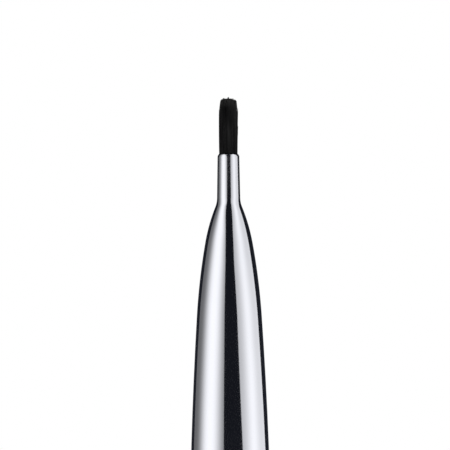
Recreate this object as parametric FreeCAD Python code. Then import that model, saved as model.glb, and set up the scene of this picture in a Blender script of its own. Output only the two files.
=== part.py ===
# A slim makeup brush, standing on its flat base with its tuft up. Sizes are in millimetres.
# The axis is Z and the origin is the centre of the base. From the base up: a turned handle, a drawn
# ferrule that sweeps in to a narrow neck, and a blunt round tuft that is bonded into that neck.

import FreeCAD, Part
import math
import os
import random

from FreeCAD import Vector

# Lengths along the axis
handle_length = 72.4
ferrule_length = 54.8
tuft_reach = 7.8

# Side of the body from the top down: a narrow neck, a hollow shoulder, then a swell of three tangent
# arcs. Each arc ends where the side leans by its angle, in degrees, and the last one ends upright.
neck_length = 6.3
neck_tip_diameter = 3.11
neck_root_diameter = 3.33
shoulder_radius = 3.65
shoulder_lean = 22.0
upper_swell_radius = 25.5
upper_swell_lean = 10.1
middle_swell_radius = 94.0
middle_swell_lean = 3.6
lower_swell_radius = 650.0

# How far one span of an arc may bow from its chord: short spans keep the facets of the side few
span_bow = 0.012

# Straight slow taper from the belly to the base
base_diameter = 11.6
base_edge_radius = 0.4

# Sheet of the ferrule, and the curl that draws its lip in
ferrule_wall = 0.225
lip_radius = 0.62
lip_land = 0.03

# Tenon of the handle inside the ferrule
tenon_length = 18.0
tenon_glue_gap = 0.05
tenon_tip_break = 0.8
tenon_groove_count = 3
tenon_groove_width = 1.2
tenon_groove_depth = 0.3
seam_edge_break = 0.08

# Root of the tuft and the adhesive around it, as depths below the root of the neck
tuft_root_depth = 4.0
adhesive_start_depth = 1.0
adhesive_end_depth = 6.5

# Exposed tuft: rings of strands, with tips that follow a low dome
tuft_lip_clearance = 0.015
strand_width = 0.27
strand_spacing = 0.28
strand_tip_width = 0.12
outer_strand_taper = 1.25
inner_strand_taper = 0.4
crown_height = 0.35
core_step = 0.1
tip_scatter = 0.09
tip_seed = 11

# Heights that follow from the lengths
seam_height = handle_length
lip_height = seam_height + ferrule_length
top_height = lip_height + tuft_reach
neck_root_height = lip_height - neck_length

# How far a cutting shape runs past what it cuts, and how deep a strand starts in what carries it
cut_margin = 1.0
strand_sink = 0.05


def point(radius, height):
    """A point of the half section."""
    return Vector(radius, 0, height)


def outward(lean):
    """The direction out of the side, where the side leans from the axis by an angle in radians."""
    return Vector(math.cos(lean), 0, math.sin(lean))


def polyline(points):
    """Straight edges from point to point."""
    return [Part.makeLine(a, b) for a, b in zip(points, points[1:])]


def revolved(edges):
    """The solid that a closed half section sweeps about the axis."""
    face = Part.Face(Part.Wire(Part.__sortEdges__(edges)))
    return face.revolve(Vector(0, 0, 0), Vector(0, 0, 1), 360)


def slab(low, high):
    """All that lies between two heights, as far out as the brush is long."""
    return Part.makeCylinder(top_height, high - low, point(0, low))


def rim_radius(solid, height):
    """The outer radius of a turned solid where it ends in a level plane."""
    return max(vertex.Point.x for vertex in solid.Vertexes if abs(vertex.Point.z - height) < 1e-6)


def edge_break(solid, height, size):
    """A ring that takes the top outer corner off a turned solid at 45 degrees."""
    corner = point(rim_radius(solid, height) + cut_margin, height + cut_margin)
    side = size + 2 * cut_margin
    return revolved(polyline([corner, corner - point(side, 0), corner - point(0, side), corner]))


def neck_lean():
    """How much the side of the neck leans from the axis, in radians."""
    return math.atan((neck_root_diameter - neck_tip_diameter) / 2 / neck_length)


def bore_radius(neck_diameter):
    """The radius inside the neck's wall where the neck has this outer diameter."""
    return neck_diameter / 2 - ferrule_wall / math.cos(neck_lean())


def bezier(poles):
    """The edge along a Bezier curve."""
    curve = Part.BezierCurve()
    curve.setPoles(poles)
    return curve.toShape()


def arc_spans(place, lean, end_lean, radius):
    """An arc of the side from one lean to another, as parabolas that keep its ends and tangents.

    The radius is negative where the side is hollow. The parabolas lie within 0.0001 of the arc.
    """
    centre = place - outward(lean) * radius
    longest_turn = math.sqrt(8 * span_bow / abs(radius))
    count = math.ceil(abs(end_lean - lean) / longest_turn)
    turn = (end_lean - lean) / count
    spans = []
    for number in range(count):
        corner = centre + outward(lean + turn * (number + 0.5)) * (radius / math.cos(turn / 2))
        end = centre + outward(lean + turn * (number + 1)) * radius
        spans.append(bezier([place, corner, end]))
        place = end
    return spans


def side_edges(inset):
    """The side of the body from the lip's level to the base, moved inward by an even inset."""
    lean = neck_lean()
    rim = point(neck_tip_diameter / 2 - inset / math.cos(lean), lip_height)
    root = point(neck_root_diameter / 2, neck_root_height) - outward(lean) * inset
    foot = point(base_diameter / 2 - inset, base_edge_radius)
    bends = [
        (-shoulder_radius, shoulder_lean),
        (upper_swell_radius, upper_swell_lean),
        (middle_swell_radius, middle_swell_lean),
        (lower_swell_radius, 0),
    ]
    edges = [Part.makeLine(rim, root)]
    for radius, end_degrees in bends:
        place = edges[-1].Vertexes[-1].Point
        end_lean = math.radians(end_degrees)
        edges += arc_spans(place, lean, end_lean, radius - inset)
        lean = end_lean
    return edges + [bezier([edges[-1].Vertexes[-1].Point, foot])]


def filled_side(inset):
    """A solid of the body's own form, smaller by an even inset, from the lip's level to the base."""
    edges = side_edges(inset)
    rim = edges[0].Vertexes[0].Point
    foot = edges[-1].Vertexes[-1].Point
    heel = point(foot.x - base_edge_radius, 0)
    edge_middle = point(heel.x, foot.z) + outward(-math.pi / 4) * base_edge_radius
    edges.append(Part.Arc(foot, edge_middle, heel).toShape())
    return revolved(edges + polyline([heel, point(0, 0), point(0, rim.z), rim]))


def lip_curl():
    """What the curl of the lip takes off the top outer corner of the neck."""
    lean = neck_lean()
    tip = point(neck_tip_diameter / 2, lip_height)
    end = point(bore_radius(neck_tip_diameter) + lip_land, lip_height)
    reach = tip.x - end.x
    depth = reach * math.cos(lean)
    run = math.sqrt(depth * (2 * lip_radius - depth)) - reach * math.sin(lean)
    start = tip + point(math.sin(lean), -math.cos(lean)) * run
    centre = start - outward(lean) * lip_radius
    middle = centre + ((start + end) / 2 - centre).normalize() * lip_radius
    beyond = start + outward(lean) * cut_margin
    over = lip_height + cut_margin
    path = [end, point(end.x, over), point(beyond.x, over), beyond, start]
    return revolved([Part.Arc(start, middle, end).toShape()] + polyline(path))


def make_ferrule(form, cavity):
    """The drawn shell: neck, shoulder and swell in one even wall, open at both ends."""
    shell = form.common(slab(seam_height, lip_height)).cut(lip_curl())
    return shell.cut(cavity)


def tenon_grooves():
    """Rings that the adhesive keys into, spread evenly along the tenon."""
    core = filled_side(ferrule_wall + tenon_glue_gap + tenon_groove_depth)
    pitch = tenon_length / (tenon_groove_count + 1)
    rings = []
    for number in range(tenon_groove_count):
        low = seam_height + pitch * (number + 1) - tenon_groove_width / 2
        rings.append(slab(low, low + tenon_groove_width).cut(core))
    return rings


def make_handle(form):
    """The solid turned grip, with the tenon that the ferrule is bonded on to."""
    grip = form.common(slab(0, seam_height))
    grip = grip.cut(edge_break(grip, seam_height, seam_edge_break))
    tenon_top = seam_height + tenon_length
    tenon = filled_side(ferrule_wall + tenon_glue_gap).common(slab(seam_height, tenon_top))
    tenon = tenon.cut(edge_break(tenon, tenon_top, tenon_tip_break))
    return grip.fuse(tenon.cut(tenon_grooves()))


def root_bundle(cavity):
    """The bonded end of the tuft: it fills the neck and runs on into the adhesive below it."""
    low = neck_root_height - tuft_root_depth
    rod = Part.makeCylinder(bore_radius(neck_root_diameter), lip_height - low, point(0, low))
    return cavity.common(rod)


def make_adhesive(cavity, root):
    """The plug of set adhesive that fills the ferrule round the end of the root."""
    low = neck_root_height - adhesive_end_depth
    high = neck_root_height - adhesive_start_depth
    return cavity.common(slab(low, high)).cut(root)


def hexagon(centre, facing, radius, height):
    """A six-sided outline at one height, with a corner that faces the given way."""
    corners = []
    for number in range(7):
        angle = facing + number * math.pi / 3
        corners.append(centre + Vector(radius * math.cos(angle), radius * math.sin(angle), height))
    return Part.Wire(polyline(corners))


def strand(centre, facing, bottom, tip, taper):
    """One straight strand that runs out to a fine tip."""
    outlines = [
        hexagon(centre, facing, strand_width / 2, bottom),
        hexagon(centre, facing, strand_width / 2, tip - taper),
        hexagon(centre, facing, strand_tip_width / 2, tip),
    ]
    return Part.makeLoft(outlines, True, True)


def ring_of_strands(ring_radius, dome_drop, bottom, taper, chance):
    """Strands side by side in a ring, or one at its centre, each with its tip a little under the dome."""
    if ring_radius < strand_spacing / 2:
        ring_radius = 0
        count = 1
    else:
        count = int(math.pi / math.asin(strand_spacing / 2 / ring_radius))
    start = chance.random()
    strands = []
    for number in range(count):
        angle = 2 * math.pi * (number + start) / count
        centre = Vector(ring_radius * math.cos(angle), ring_radius * math.sin(angle), 0)
        tip = top_height - dome_drop - tip_scatter * chance.random()
        strands.append(strand(centre, angle, bottom, tip, taper))
    return strands


def make_tuft(root):
    """The whole tuft: bonded root, hidden core, a ring of long strands and the ends of those inside."""
    chance = random.Random(tip_seed)
    outer_ring = bore_radius(neck_tip_diameter) - tuft_lip_clearance - strand_width / 2
    bottom = lip_height - strand_sink
    core_top = top_height - crown_height - tip_scatter - outer_strand_taper - core_step
    pieces = [Part.makeCylinder(outer_ring, core_top - bottom, point(0, bottom))]
    pieces += ring_of_strands(outer_ring, crown_height, bottom, outer_strand_taper, chance)
    ring_radius = outer_ring - strand_spacing
    while ring_radius > 0:
        dome_drop = crown_height * (1 - math.sqrt(1 - (ring_radius / outer_ring) ** 2))
        bottom = core_top - strand_sink
        pieces += ring_of_strands(ring_radius, dome_drop, bottom, inner_strand_taper, chance)
        ring_radius -= strand_spacing
    return root.multiFuse(pieces)


def main():
    """Builds each piece and writes it to its own file."""
    form = filled_side(0)
    cavity = filled_side(ferrule_wall)
    root = root_bundle(cavity)
    pieces = {
        "handle": make_handle(form),
        "ferrule": make_ferrule(form, cavity),
        "adhesive_plug": make_adhesive(cavity, root),
        "bristle_tuft": make_tuft(root),
    }
    os.makedirs("parts", exist_ok=True)
    for name, shape in pieces.items():
        print(name, "solids", len(shape.Solids), "valid", shape.isValid(), "volume", round(shape.Volume, 3))
        shape.exportStep(f"parts/{name}.step")


main()
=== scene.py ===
import math
import random

import bpy
from mathutils import Euler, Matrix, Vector


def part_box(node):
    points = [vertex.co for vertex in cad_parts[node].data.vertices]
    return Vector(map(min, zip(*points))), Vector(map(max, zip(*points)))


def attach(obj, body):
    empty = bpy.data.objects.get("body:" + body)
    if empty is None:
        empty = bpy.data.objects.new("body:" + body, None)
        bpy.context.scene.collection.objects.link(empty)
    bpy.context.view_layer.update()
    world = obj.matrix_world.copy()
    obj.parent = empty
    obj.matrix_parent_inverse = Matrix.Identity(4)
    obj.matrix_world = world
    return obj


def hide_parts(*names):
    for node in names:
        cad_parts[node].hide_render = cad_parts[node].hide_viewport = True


# A slim makeup brush that stands on its base with its tuft up: mirror-polished metal that sweeps up
# into a narrow neck, and a blunt near-black tuft. Lengths are in metres and angles in degrees.

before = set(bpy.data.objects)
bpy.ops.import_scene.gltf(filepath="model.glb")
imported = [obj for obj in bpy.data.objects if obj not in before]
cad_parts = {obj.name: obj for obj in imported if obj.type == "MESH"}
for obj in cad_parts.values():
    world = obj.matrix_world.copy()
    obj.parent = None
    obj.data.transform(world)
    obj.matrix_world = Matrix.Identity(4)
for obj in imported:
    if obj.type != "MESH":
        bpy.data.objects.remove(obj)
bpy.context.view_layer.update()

mm = 0.001

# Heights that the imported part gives
lip_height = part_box("ferrule")[1].z
seam_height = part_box("ferrule")[0].z
tenon_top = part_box("handle")[1].z
root_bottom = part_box("bristle_tuft")[0].z

# Side of the body from the top down, with the same sizes as the part
neck_length = 6.3 * mm
neck_tip_radius = 3.11 * mm / 2
neck_root_radius = 3.33 * mm / 2
shoulder_radius = 3.65 * mm
shoulder_lean = 22.0
upper_swell_radius = 25.5 * mm
upper_swell_lean = 10.1
middle_swell_radius = 94.0 * mm
middle_swell_lean = 3.6
lower_swell_radius = 650.0 * mm
base_radius = 11.6 * mm / 2
base_edge_radius = 0.4 * mm
ferrule_wall = 0.225 * mm
lip_radius = 0.62 * mm
lip_land = 0.03 * mm
rear_edge_round = 0.04 * mm
seam_edge_break = 0.08 * mm

# Tenon of the handle inside the ferrule
tenon_glue_gap = 0.05 * mm
tenon_tip_break = 0.8 * mm
tenon_groove_count = 3
tenon_groove_width = 1.2 * mm
tenon_groove_depth = 0.3 * mm

# How finely the turned surfaces are divided. Small rounded edges keep one in so many points of an arc.
turned_sides = 192
arc_step = 0.4
straight_rows = 24
small_edge_stride = 8
metal_sharp_angle = 25.0

# Tuft: a round bundle of fibres that swells a little, closes at its end, and has its tips on a low dome
tuft_radius = 1.32 * mm
tuft_top = lip_height + 7.95 * mm
tuft_edge_drop = 0.36 * mm
tuft_top_tilt = 0.05
tuft_drift = 0.04 * mm
tuft_belly = 0.012
closing_length = 1.6 * mm
closing_amount = 0.105
root_depth_in_lip = 0.25 * mm

# Clumps that draw the tips of the fibres together, and a few tips at the middle that stand proud
clump_count = 70
clump_pull = 0.25
clump_scatter = 0.055 * mm
proud_tips = 0.38 * mm
proud_radius = 0.19 * mm

# Single fibres. The shares are those of the length at which a fibre has a ring of corners.
fibre_count = 1150
fibre_width = 0.068 * mm
fibre_sides = 6
fibre_shares = (0.0, 0.2, 0.4, 0.6, 0.76, 0.88, 0.94, 0.975, 1.0)
fibre_sway = 0.018 * mm
fibre_seed = 5
fibre_sharp_angle = 50.0
tip_scatter = 0.045 * mm
tip_taper_share = 0.1
tip_taper_depth = 0.6
tip_taper_power = 1.5

# Fibres that stand out of the side of the tuft: azimuth, drop of the tip from the top, reach of the tip
strays = (
    (84.0, 1.35 * mm, 0.08 * mm),
    (97.0, 1.50 * mm, 0.07 * mm),
    (86.0, 3.95 * mm, 0.08 * mm),
    (95.0, 4.60 * mm, 0.06 * mm),
    (-88.0, 1.55 * mm, 0.05 * mm),
    (-20.0, 2.60 * mm, 0.04 * mm),
    (28.0, 3.50 * mm, 0.04 * mm),
    (150.0, 2.20 * mm, 0.05 * mm),
    (-140.0, 3.10 * mm, 0.05 * mm),
)
stray_width = 0.09 * mm

# Where the tone of the fibres changes: a painted highlight that makes them paler towards their ends, and
# painted shade that makes them dark in the shade of the lip
tip_highlight_length = 1.5 * mm
tip_highlight_amount = 0.6
root_shade_length = 0.2 * mm
root_shade_tone = 0.1

# The photo's view: its scale, and where it shows the mouth of the lip
photo_side = 450
metres_per_pixel = 0.1435 * mm
lip_column = 228.4
lip_row = 154.0
camera_distance = 0.6
camera_roll = 0.33


# Side of the metal

def outward(lean):
    """The direction out of the side, as radius and height, where it leans by an angle in radians."""
    return Vector((math.cos(lean), math.sin(lean)))


def neck_lean():
    """How much the side of the neck leans from the axis, in radians."""
    return math.atan((neck_root_radius - neck_tip_radius) / neck_length)


def arc(centre, radius, start, end):
    """Points of an arc after its start, with the angles of its normals in radians."""
    count = max(2, math.ceil(math.degrees(abs(end - start)) / arc_step))
    turns = [start + (end - start) * step / count for step in range(1, count + 1)]
    return [centre + outward(turn) * radius for turn in turns]


def straight(start, end, rows):
    """Points of a straight stretch after its start."""
    return [start.lerp(end, row / rows) for row in range(1, rows + 1)]


def side(inset):
    """Points of the body's side from the lip's level down to the foot, moved in by an even inset."""
    lean = neck_lean()
    rim = Vector((neck_tip_radius - inset / math.cos(lean), lip_height))
    root = Vector((neck_root_radius, lip_height - neck_length)) - outward(lean) * inset
    foot = Vector((base_radius - inset, base_edge_radius))
    bends = [
        (-shoulder_radius, shoulder_lean),
        (upper_swell_radius, upper_swell_lean),
        (middle_swell_radius, middle_swell_lean),
        (lower_swell_radius, 0.0),
    ]
    points = [rim] + straight(rim, root, straight_rows)
    for radius, end_degrees in bends:
        centre = points[-1] - outward(lean) * (radius - inset)
        end_lean = math.radians(end_degrees)
        points += arc(centre, radius - inset, lean, end_lean)
        lean = end_lean
    return points + straight(points[-1], foot, straight_rows)


def radius_at(points, height):
    """The radius of a side at a height, between its points."""
    for above, below in zip(points, points[1:]):
        if above.y >= height >= below.y and above.y > below.y:
            return below.lerp(above, (height - below.y) / (above.y - below.y)).x
    raise ValueError("the side doesn't reach that height")


def stretch(points, high, low):
    """The part of a side between two heights, with a point on each."""
    inner = [point for point in points if low < point.y < high]
    top = Vector((radius_at(points, high), high))
    return [top] + inner + [Vector((radius_at(points, low), low))]


def lip_curl(inner_rim):
    """The curl that draws the lip in, from the level of the lip out to the side of the neck."""
    lean = neck_lean()
    end = inner_rim + Vector((lip_land, 0))
    reach = neck_tip_radius - end.x
    depth = reach * math.cos(lean)
    run = math.sqrt(depth * (2 * lip_radius - depth)) - reach * math.sin(lean)
    start = Vector((neck_tip_radius + math.sin(lean) * run, lip_height - math.cos(lean) * run))
    centre = start - outward(lean) * lip_radius
    spoke = end - centre
    return [end] + arc(centre, lip_radius, math.atan2(spoke.y, spoke.x), lean)


# Meshes

def new_piece(name, vertices, faces, sharp_angle=None):
    """A smooth mesh piece, linked into the scene."""
    mesh = bpy.data.meshes.new(name)
    mesh.from_pydata(vertices, [], faces)
    mesh.polygons.foreach_set("use_smooth", [True] * len(faces))
    if sharp_angle is not None:
        mesh.set_sharp_from_angle(angle=math.radians(sharp_angle))
    mesh.update()
    piece = bpy.data.objects.new(name, mesh)
    bpy.context.scene.collection.objects.link(piece)
    return piece


def turned(name, outline, closed):
    """A turned piece. An open outline starts and ends on the axis, and a closed one goes round a wall."""
    vertices = []
    rings = []
    for point in outline:
        if point.x == 0:
            rings.append([len(vertices)] * turned_sides)
            vertices.append((0, 0, point.y))
            continue
        rings.append(range(len(vertices), len(vertices) + turned_sides))
        for number in range(turned_sides):
            angle = 2 * math.pi * number / turned_sides
            vertices.append((point.x * math.cos(angle), point.x * math.sin(angle), point.y))
    faces = []
    for upper, lower in zip(rings, rings[1:] + (rings[:1] if closed else [])):
        for number in range(turned_sides):
            after = (number + 1) % turned_sides
            corners = [upper[number], lower[number], lower[after], upper[after]]
            faces.append(tuple(dict.fromkeys(corners)))
    return new_piece(name, vertices, [face for face in faces if len(face) > 2], metal_sharp_angle)


def make_ferrule():
    """The drawn shell: curled lip, neck, shoulder and swell in one even wall."""
    inner = stretch(side(ferrule_wall), lip_height, seam_height)
    curl = lip_curl(inner[0])
    outer = stretch(side(0), curl[-1].y, seam_height)
    rear = outer.pop()
    last = stretch(outer + [rear], outer[0].y, seam_height + rear_edge_round)
    corner = Vector((rear.x - rear_edge_round, seam_height + rear_edge_round))
    edge = arc(corner, rear_edge_round, 0, -math.pi / 2)
    outline = curl[:-1] + last + edge[::small_edge_stride] + inner[::-1]
    piece = turned("ferrule_shell", outline, closed=True)
    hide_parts("ferrule")
    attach(piece, "root")
    return piece


def tenon_outline():
    """The tenon from the axis at its top down to the shoulder that the ferrule seats on."""
    surface = side(ferrule_wall + tenon_glue_gap)
    top = radius_at(surface, tenon_top)
    points = [Vector((0, tenon_top)), Vector((top - tenon_tip_break, tenon_top))]
    high = tenon_top - tenon_tip_break
    pitch = (tenon_top - seam_height) / (tenon_groove_count + 1)
    for number in reversed(range(tenon_groove_count)):
        groove_top = seam_height + pitch * (number + 1) + tenon_groove_width / 2
        groove_bottom = groove_top - tenon_groove_width
        points += stretch(surface, high, groove_top)
        points.append(points[-1] - Vector((tenon_groove_depth, 0)))
        high = groove_bottom
        points.append(Vector((radius_at(surface, high) - tenon_groove_depth, high)))
    return points + stretch(surface, high, seam_height)


def make_handle():
    """The turned grip: tenon, broken edge at the seam, slow taper and flat base."""
    grip = stretch(side(0), seam_height - seam_edge_break, base_edge_radius)
    seam_corner = Vector((radius_at(side(0), seam_height) - seam_edge_break, seam_height))
    heel_centre = Vector((base_radius - base_edge_radius, base_edge_radius))
    heel = arc(heel_centre, base_edge_radius, 0, -math.pi / 2)
    outline = tenon_outline() + [seam_corner] + grip + heel[::small_edge_stride] + [Vector((0, 0))]
    piece = turned("handle_grip", outline, closed=False)
    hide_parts("handle")
    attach(piece, "root")
    return piece


def make_root():
    """The bonded end of the tuft inside the neck."""
    bore = stretch(side(ferrule_wall), lip_height - root_depth_in_lip, lip_height - neck_length)
    bottom = Vector((bore[-1].x, root_bottom))
    outline = [Vector((0, bore[0].y))] + bore + [bottom, Vector((0, root_bottom))]
    piece = turned("tuft_root", outline, closed=False)
    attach(piece, "root")
    return piece


# Tuft

class Fibre:
    """One fibre of the tuft: its place in the bundle, its tip, and how it leaves a straight line."""

    def __init__(self, place, tip, chance):
        self.place = place
        self.tip = tip
        self.sway = Vector((chance.gauss(0, 1), chance.gauss(0, 1))) * fibre_sway
        self.facing = chance.random() * 2 * math.pi
        self.pull = Vector((0, 0))
        self.width = fibre_width

    def centre(self, share):
        """The middle of the fibre at a share of its length from inside the lip to its tip."""
        height = lip_height - 2 * root_depth_in_lip
        height += (self.tip - height) * share
        arch = math.sin(math.pi * share)
        closing = max(0.0, 1 - (tuft_top - height) / closing_length)
        flat = self.place * (1 + tuft_belly * math.sqrt(max(arch, 0)) - closing_amount * closing)
        flat = flat + self.pull * share ** 3 + self.sway * arch + Vector((tuft_drift, 0)) * share ** 3
        return Vector((flat.x, flat.y, height))

    def width_at(self, share):
        """The fibre's width there: even, then tapered to its tip."""
        taper = max(0.0, (share - (1 - tip_taper_share)) / tip_taper_share)
        return self.width * (1 - tip_taper_depth * taper ** tip_taper_power)


def on_spiral(number, count):
    """A place in a unit disc that is filled evenly by count places."""
    angle = number * math.pi * (3 - math.sqrt(5))
    return Vector((math.cos(angle), math.sin(angle))) * math.sqrt((number + 0.5) / count)


def bundle(chance):
    """The fibres of the round bundle, drawn together in small clumps at their tips."""
    clumps = []
    for number in range(clump_count):
        place = on_spiral(number, clump_count) * tuft_radius
        clumps.append((place, chance.gauss(0, 1) * clump_scatter))
    fibres = []
    for number in range(fibre_count):
        spot = on_spiral(number, fibre_count)
        place = spot * (tuft_radius - fibre_width / 2)
        clump, lift = min(clumps, key=lambda clump: (clump[0] - place).length)
        tip = tuft_top - tuft_edge_drop * spot.length ** 4 - tuft_top_tilt * place.x
        tip += lift - tip_scatter * abs(chance.gauss(0, 1))
        if place.length < proud_radius:
            tip += proud_tips * (1 - (place.length / proud_radius) ** 2)
        fibre = Fibre(place, tip, chance)
        fibre.pull = (clump - place) * clump_pull
        fibres.append(fibre)
    return fibres


def stray_fibres(chance):
    """The few shorter fibres whose tips stand out of the side of the tuft."""
    fibres = []
    for azimuth, drop, reach in strays:
        away = Vector((math.sin(math.radians(azimuth)), -math.cos(math.radians(azimuth))))
        fibre = Fibre(away * (tuft_radius - stray_width / 2), tuft_top - drop, chance)
        fibre.pull = away * reach
        fibre.width = stray_width
        fibres.append(fibre)
    return fibres


def add_tube(fibre, vertices, faces):
    """Adds the tube of one fibre, closed at both ends."""
    first = len(vertices)
    for share in fibre_shares:
        centre = fibre.centre(share)
        half = fibre.width_at(share) / 2
        for corner in range(fibre_sides):
            angle = fibre.facing + 2 * math.pi * corner / fibre_sides
            vertices.append(centre + Vector((math.cos(angle), math.sin(angle), 0)) * half)
    for row in range(len(fibre_shares) - 1):
        low = first + row * fibre_sides
        high = low + fibre_sides
        for corner in range(fibre_sides):
            after = (corner + 1) % fibre_sides
            faces.append((low + corner, low + after, high + after, high + corner))
    last = len(vertices) - fibre_sides
    faces.append(tuple(range(last, last + fibre_sides)))
    faces.append(tuple(reversed(range(first, first + fibre_sides))))


def make_tuft():
    """All the fibres as one piece."""
    chance = random.Random(fibre_seed)
    vertices = []
    faces = []
    for fibre in bundle(chance) + stray_fibres(chance):
        add_tube(fibre, vertices, faces)
    piece = new_piece("tuft_fibres", vertices, faces, fibre_sharp_angle)
    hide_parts("bristle_tuft")
    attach(piece, "root")
    return piece


# Materials

# Where most values of a noise lie
noise_low = 0.3
noise_high = 0.7


class Nodes:
    """The node tree of a new material, with short ways to add and join nodes."""

    def __init__(self, name):
        self.material = bpy.data.materials.new(name)
        self.material.use_nodes = True
        self.tree = self.material.node_tree
        self.tree.nodes.clear()

    def add(self, kind, **settings):
        """A new shader node of a kind, with its settings."""
        node = self.tree.nodes.new("ShaderNode" + kind)
        for name, value in settings.items():
            setattr(node, name, value)
        return node

    def join(self, source, output, target, socket):
        """Leads an output of one node into a socket of another."""
        self.tree.links.new(source.outputs[output], target.inputs[socket])

    def noise(self, stretch_by, scale, detail):
        """Noise over the piece's own coordinates, stretched along some axes."""
        place = self.add("TexCoord")
        mapping = self.add("Mapping")
        mapping.inputs["Scale"].default_value = stretch_by
        noise = self.add("TexNoise")
        noise.inputs["Scale"].default_value = scale
        noise.inputs["Detail"].default_value = detail
        self.join(place, "Object", mapping, "Vector")
        self.join(mapping, "Vector", noise, "Vector")
        return noise

    def spread(self, source, output, low, high):
        """A number from a noise, spread over a range."""
        spread = self.add("MapRange")
        spread.inputs["From Min"].default_value = noise_low
        spread.inputs["From Max"].default_value = noise_high
        spread.inputs["To Min"].default_value = low
        spread.inputs["To Max"].default_value = high
        self.join(source, output, spread, "Value")
        return spread

    def blend(self, source, output, first, second):
        """A colour between two, chosen by a noise."""
        ramp = self.add("ValToRGB")
        ramp.color_ramp.elements[0].position = noise_low
        ramp.color_ramp.elements[0].color = (*first, 1)
        ramp.color_ramp.elements[1].position = noise_high
        ramp.color_ramp.elements[1].color = (*second, 1)
        self.join(source, output, ramp, "Fac")
        return ramp

    def mix(self, source, output, first, second):
        """The colour of one node, then of another, as a source goes from nought to one."""
        mix = self.add("Mix", data_type="RGBA")
        self.join(source, output, mix, "Factor")
        self.join(first, "Color", mix, "A")
        self.join(second, "Color", mix, "B")
        return mix

    def level(self, low, high, value_below, value_above):
        """A number that eases from one value to another between two heights."""
        place = self.add("TexCoord")
        apart = self.add("SeparateXYZ")
        level = self.add("MapRange", interpolation_type="SMOOTHSTEP")
        level.inputs["From Min"].default_value = low
        level.inputs["From Max"].default_value = high
        level.inputs["To Min"].default_value = value_below
        level.inputs["To Max"].default_value = value_above
        self.join(place, "Object", apart, "Vector")
        self.join(apart, "Z", level, "Value")
        return level

    def surface(self, **values):
        """The surface shader, with the values that are the same all over."""
        shader = self.add("BsdfPrincipled")
        output = self.add("OutputMaterial")
        for name, value in values.items():
            shader.inputs[name.replace("_", " ")].default_value = value
        self.join(shader, "BSDF", output, "Surface")
        return shader

    def bump(self, source, output, shader, height):
        """Relief of a real height in metres on the surface."""
        bump = self.add("Bump")
        bump.inputs["Strength"].default_value = 1.0
        bump.inputs["Distance"].default_value = height
        self.join(source, output, bump, "Height")
        self.join(bump, "Normal", shader, "Normal")


def polished_metal(name, colour, smear_colour, roughness, neck_roughness, lay_height):
    """Mirror-polished metal with faint rings of polish, uneven gloss, and less polish up the neck."""
    nodes = Nodes(name)
    shader = nodes.surface(Metallic=1.0)
    haze = nodes.noise(stretch_by=(1.0, 1.0, 0.35), scale=260.0, detail=4.0)
    rings = nodes.noise(stretch_by=(0.04, 0.04, 1.0), scale=9000.0, detail=3.0)
    tone = nodes.blend(haze, "Fac", smear_colour, colour)
    gloss = nodes.spread(haze, "Fac", low=0.8, high=1.2)
    neck_root = lip_height - neck_length
    level = nodes.level(neck_root, neck_root + neck_length / 2, roughness, neck_roughness)
    product = nodes.add("Math", operation="MULTIPLY")
    nodes.join(level, "Result", product, 0)
    nodes.join(gloss, "Result", product, 1)
    nodes.join(tone, "Color", shader, "Base Color")
    nodes.join(product, "Value", shader, "Roughness")
    nodes.bump(rings, "Fac", shader, lay_height)
    return nodes.material


def bristle():
    """Near-black fibres in darker and lighter locks, with a painted highlight that makes them paler
    towards their cut ends, and painted shade that darkens their roots at the lip.
    """
    nodes = Nodes("bristle_fibre")
    shader = nodes.surface(Specular_IOR_Level=0.07)
    strands = nodes.noise(stretch_by=(1.0, 1.0, 0.03), scale=9000.0, detail=3.0)
    locks = nodes.noise(stretch_by=(1.0, 1.0, 0.12), scale=1300.0, detail=2.0)
    dark_lock = nodes.blend(strands, "Fac", (0.0008, 0.0008, 0.0010), (0.0050, 0.0049, 0.0052))
    light_lock = nodes.blend(strands, "Fac", (0.0080, 0.0080, 0.0084), (0.0240, 0.0236, 0.0240))
    lightness = nodes.spread(locks, "Fac", low=0.0, high=1.0)
    lock_tone = nodes.mix(lightness, "Result", dark_lock, light_lock)
    # Painted highlight: the fibres' colour turns paler over the last stretch below the top of the tuft,
    # standing in for the cut ends catching light from above.
    tip_highlight = nodes.level(tuft_top - tip_highlight_length, tuft_top, 0.0, tip_highlight_amount)
    highlighted_tone = nodes.add("Mix", data_type="RGBA")
    highlighted_tone.inputs["B"].default_value = (0.042, 0.041, 0.041, 1)
    nodes.join(tip_highlight, "Result", highlighted_tone, "Factor")
    nodes.join(lock_tone, "Result", highlighted_tone, "A")
    # Painted shade: the fibres' colour darkens just above the lip, where the lip's shadow falls on the
    # roots.
    root_shade_level = nodes.level(lip_height, lip_height + root_shade_length, root_shade_tone, 1.0)
    shaded = nodes.add("VectorMath", operation="SCALE")
    nodes.join(highlighted_tone, "Result", shaded, "Vector")
    nodes.join(root_shade_level, "Result", shaded, "Scale")
    gloss = nodes.spread(strands, "Fac", low=0.62, high=0.48)
    nodes.join(shaded, "Vector", shader, "Base Color")
    nodes.join(gloss, "Result", shader, "Roughness")
    return nodes.material


def set_adhesive():
    """Amber adhesive, set glossy and faintly cloudy."""
    nodes = Nodes("set_adhesive")
    shader = nodes.surface(Coat_Weight=0.3)
    cloud = nodes.noise(stretch_by=(1.0, 1.0, 1.0), scale=900.0, detail=3.0)
    tone = nodes.blend(cloud, "Fac", (0.36, 0.22, 0.08), (0.52, 0.36, 0.16))
    gloss = nodes.spread(cloud, "Fac", low=0.18, high=0.32)
    nodes.join(tone, "Color", shader, "Base Color")
    nodes.join(gloss, "Result", shader, "Roughness")
    nodes.bump(cloud, "Fac", shader, height=0.004 * mm)
    return nodes.material


# Studio

# Cards well away from the brush, which only mirrors see. Their light is bluer where it is dim.
card_radius = 60 * mm
flag_radius = 75 * mm
card_rows = 60
card_columns = 72
dim_tint = (0.62, 0.70, 1.0)
white_from = 0.15

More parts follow.
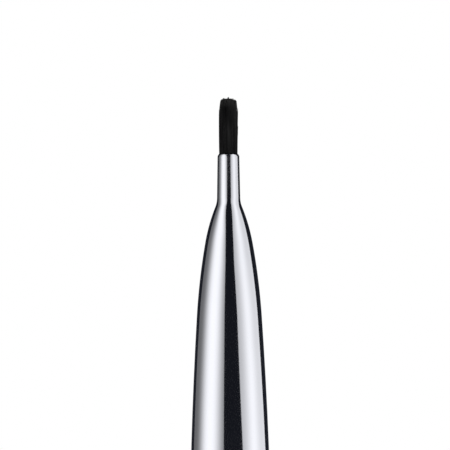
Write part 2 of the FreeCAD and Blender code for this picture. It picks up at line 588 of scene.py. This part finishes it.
# Azimuths of the ends and the brightest middle of each softbox, one for each of the heights
card_heights = (0.0, 60 * mm, 98 * mm, 128 * mm, 146 * mm, 168 * mm, 240 * mm)
left_start = (-20.4, -19.4, -17.4, -15.2, -18.0, -25.5, -26.0)
left_middle = (-64.0, -64.0, -59.0, -52.0, -51.5, -62.0, -62.0)
left_end = (-134.0, -134.0, -130.0, -119.0, -117.0, -116.0, -116.0)
right_start = (48.0, 48.0, 31.0, 21.5, 22.5, 28.0, 30.0)
right_middle = (75.0, 75.0, 70.0, 57.0, 56.0, 66.0, 66.0)
right_end = (134.0, 132.0, 120.0, 110.0, 109.0, 107.0, 107.0)

# Floor, and the light on what isn't a mirror
floor_side = 4.0
floor_tone = 0.72
lit_floor_radius = 0.12
white_floor_radius = 0.45
even_light = 0.35


def at_height(values, height):
    """A value between those that belong to the heights of the cards."""
    for low, high, first, last in zip(card_heights, card_heights[1:], values, values[1:]):
        if height <= high:
            break
    return first + (last - first) * (height - low) / (high - low)


def finish_card(card, strengths, material):
    """Lights a card, which is seen only where something mirrors it."""
    card.data.attributes.new("glow", "FLOAT", "POINT").data.foreach_set("value", strengths)
    card.data.materials.append(material)
    card.visible_camera = False
    card.visible_diffuse = False
    card.visible_shadow = False
    card.visible_transmission = False
    card.visible_volume_scatter = False


def glow_material():
    """Light as strong as the mesh says point by point, and bluer where it is dim."""
    nodes = Nodes("card_glow")
    glow = nodes.add("Attribute", attribute_name="glow")
    tint = nodes.add("ValToRGB")
    tint.color_ramp.elements[0].color = (*dim_tint, 1)
    tint.color_ramp.elements[1].position = white_from
    light = nodes.add("Emission")
    output = nodes.add("OutputMaterial")
    nodes.join(glow, "Fac", tint, "Fac")
    nodes.join(tint, "Color", light, "Color")
    nodes.join(glow, "Fac", light, "Strength")
    nodes.join(light, "Emission", output, "Surface")
    return nodes.material


def curved_card(name, radius, start, end, glow, material):
    """A card on a cylinder round the brush. Start and end are azimuths at the card heights, to the right
    of the direction to the camera, and glow gives the strength at an azimuth and height."""
    vertices = []
    strengths = []
    for row in range(card_rows + 1):
        height = card_heights[0] + (card_heights[-1] - card_heights[0]) * row / card_rows
        first = at_height(start, height)
        last = at_height(end, height)
        for column in range(card_columns + 1):
            azimuth = first + (last - first) * column / card_columns
            turn = math.radians(azimuth)
            vertices.append((radius * math.sin(turn), -radius * math.cos(turn), height))
            strengths.append(glow(azimuth, height))
    faces = []
    across = card_columns + 1
    for row in range(card_rows):
        for column in range(card_columns):
            corner = row * across + column
            faces.append((corner, corner + 1, corner + across + 1, corner + across))
    finish_card(new_piece(name, vertices, faces), strengths, material)


def ceiling_card(material):
    """A dark round card above the others."""
    vertices = []
    for column in range(card_columns):
        turn = 2 * math.pi * column / card_columns
        vertices.append((flag_radius * math.sin(turn), -flag_radius * math.cos(turn), card_heights[-1]))
    strengths = [flag_glow(0, card_heights[-1])] * card_columns
    finish_card(new_piece("dark_ceiling", vertices, [tuple(range(card_columns))]), strengths, material)


def hump(azimuth, centre, half_width, power):
    """One at a centre, a half at the half width from it, and nearly nothing far away."""
    return math.exp(-math.log(2) * (abs(azimuth - centre) / half_width) ** power)


def left_glow(azimuth, height):
    """The left softbox: broad and bright in its middle, dim towards its far end."""
    middle = at_height(left_middle, height)
    return 0.14 + 0.93 * hump(azimuth, middle, half_width=28, power=2.6)


def right_glow(azimuth, height):
    """The right softbox: even and fairly bright, with a hot middle."""
    middle = at_height(right_middle, height)
    even = 0.51 + 0.0033 * (azimuth - 33)
    return even + 0.39 * hump(azimuth, middle, half_width=18, power=2.0)


def flag_glow(azimuth, height):
    """The dark of the room between the softboxes, with a narrow light right behind the brush."""
    rear_light = 0.6 * hump(abs(azimuth), 180, half_width=9, power=3)
    return 0.0105 + 0.035 * (azimuth / 180) ** 6 + rear_light


def add_cards():
    """Two tall softboxes beside the brush, and dark flags that fill the gaps between them."""
    material = glow_material()
    curved_card("left_softbox", card_radius, left_start, left_end, left_glow, material)
    curved_card("right_softbox", card_radius, right_start, right_end, right_glow, material)
    flags_start = (-180.0,) * len(card_heights)
    flags_end = (180.0,) * len(card_heights)
    curved_card("dark_flags", flag_radius, flags_start, flags_end, flag_glow, material)
    ceiling_card(material)


def area_lamp(name, azimuth, height, distance, size, power):
    """A soft lamp aimed at the middle of the brush, which mirrors don't show."""
    data = bpy.data.lights.new(name, "AREA")
    data.shape = "DISK"
    data.size = size
    data.energy = power
    lamp = bpy.data.objects.new(name, data)
    turn = math.radians(azimuth)
    middle = Vector((0, 0, tenon_top))
    lamp.location = Vector((distance * math.sin(turn), -distance * math.cos(turn), height))
    lamp.rotation_euler = (middle - lamp.location).to_track_quat("-Z", "Y").to_euler()
    lamp.visible_glossy = False
    bpy.context.scene.collection.objects.link(lamp)


def add_lamps():
    """Soft light from both sides, the front and above."""
    area_lamp("left_lamp", azimuth=-62, height=0.30, distance=0.6, size=0.4, power=0.5)
    area_lamp("right_lamp", azimuth=70, height=0.30, distance=0.6, size=0.4, power=2.2)
    area_lamp("front_lamp", azimuth=5, height=0.25, distance=0.7, size=0.5, power=1.0)
    area_lamp("top_lamp", azimuth=180, height=0.75, distance=0.15, size=0.5, power=2.2)


def add_world():
    """White where the camera and mirrors look, and a soft even light on the rest."""
    world = bpy.data.worlds.new("studio")
    bpy.context.scene.world = world
    world.use_nodes = True
    tree = world.node_tree
    tree.nodes.clear()
    path = tree.nodes.new("ShaderNodeLightPath")
    seen = tree.nodes.new("ShaderNodeMath")
    seen.operation = "MAXIMUM"
    seen_at_all = tree.nodes.new("ShaderNodeMath")
    seen_at_all.operation = "MAXIMUM"
    strength = tree.nodes.new("ShaderNodeMapRange")
    strength.inputs["To Min"].default_value = even_light
    strength.inputs["To Max"].default_value = 1.0
    background = tree.nodes.new("ShaderNodeBackground")
    output = tree.nodes.new("ShaderNodeOutputWorld")
    tree.links.new(path.outputs["Is Camera Ray"], seen.inputs[0])
    tree.links.new(path.outputs["Is Glossy Ray"], seen.inputs[1])
    tree.links.new(seen.outputs[0], seen_at_all.inputs[0])
    tree.links.new(path.outputs["Is Transmission Ray"], seen_at_all.inputs[1])
    tree.links.new(seen_at_all.outputs[0], strength.inputs["Value"])
    tree.links.new(strength.outputs["Result"], background.inputs["Strength"])
    background.inputs["Color"].default_value = (1, 1, 1, 1)
    tree.links.new(background.outputs["Background"], output.inputs["Surface"])


def floor_material():
    """Pale matt floor that runs out into white away from the brush."""
    nodes = Nodes("pale_floor")
    place = nodes.add("TexCoord")
    length = nodes.add("VectorMath", operation="LENGTH")
    fade = nodes.add("MapRange", interpolation_type="SMOOTHSTEP")
    fade.inputs["From Min"].default_value = lit_floor_radius
    fade.inputs["From Max"].default_value = white_floor_radius
    matt = nodes.add("BsdfDiffuse")
    matt.inputs["Color"].default_value = (floor_tone, floor_tone, floor_tone, 1)
    white = nodes.add("Emission")
    mix = nodes.add("MixShader")
    output = nodes.add("OutputMaterial")
    nodes.join(place, "Object", length, 0)
    nodes.join(length, "Value", fade, "Value")
    nodes.join(fade, "Result", mix, 0)
    nodes.join(matt, "BSDF", mix, 1)
    nodes.join(white, "Emission", mix, 2)
    nodes.join(mix, "Shader", output, "Surface")
    return nodes.material


def add_floor():
    """The floor that the brush stands on."""
    half = floor_side / 2
    corners = [(-half, -half, 0), (half, -half, 0), (half, half, 0), (-half, half, 0)]
    floor = new_piece("floor", corners, [(0, 1, 2, 3)])
    floor.data.materials.append(floor_material())


def add_camera():
    """The photo's camera: level with the brush and far off, with a slight roll."""
    data = bpy.data.cameras.new("photo_camera")
    data.lens = data.sensor_width * camera_distance / (photo_side * metres_per_pixel)
    camera = bpy.data.objects.new("photo_camera", data)
    bpy.context.scene.collection.objects.link(camera)
    camera.rotation_euler = Euler((math.pi / 2, math.radians(camera_roll), 0))
    turn = camera.rotation_euler.to_matrix()
    across = (lip_column - photo_side / 2) * metres_per_pixel
    up = (photo_side / 2 - lip_row) * metres_per_pixel
    camera.location = Vector((0, 0, lip_height)) - turn @ Vector((across, up, -camera_distance))
    bpy.context.scene.camera = camera


def dress(piece, material):
    """Gives a new piece its one material."""
    piece.data.materials.append(material)


ferrule_metal = polished_metal(
    "ferrule_chrome",
    colour=(0.905, 0.915, 0.97),
    smear_colour=(0.885, 0.895, 0.95),
    roughness=0.08,
    neck_roughness=0.17,
    lay_height=0.00012 * mm,
)
handle_metal = polished_metal(
    "handle_metal",
    colour=(0.89, 0.90, 0.935),
    smear_colour=(0.86, 0.87, 0.905),
    roughness=0.10,
    neck_roughness=0.10,
    lay_height=0.00022 * mm,
)
bristles = bristle()

dress(make_ferrule(), ferrule_metal)
dress(make_handle(), handle_metal)
dress(make_root(), bristles)
dress(make_tuft(), bristles)
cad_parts["adhesive_plug"].material_slots[0].material = set_adhesive()

add_floor()
add_cards()
add_lamps()
add_world()
add_camera()
bpy.context.scene.view_settings.view_transform = "Standard"
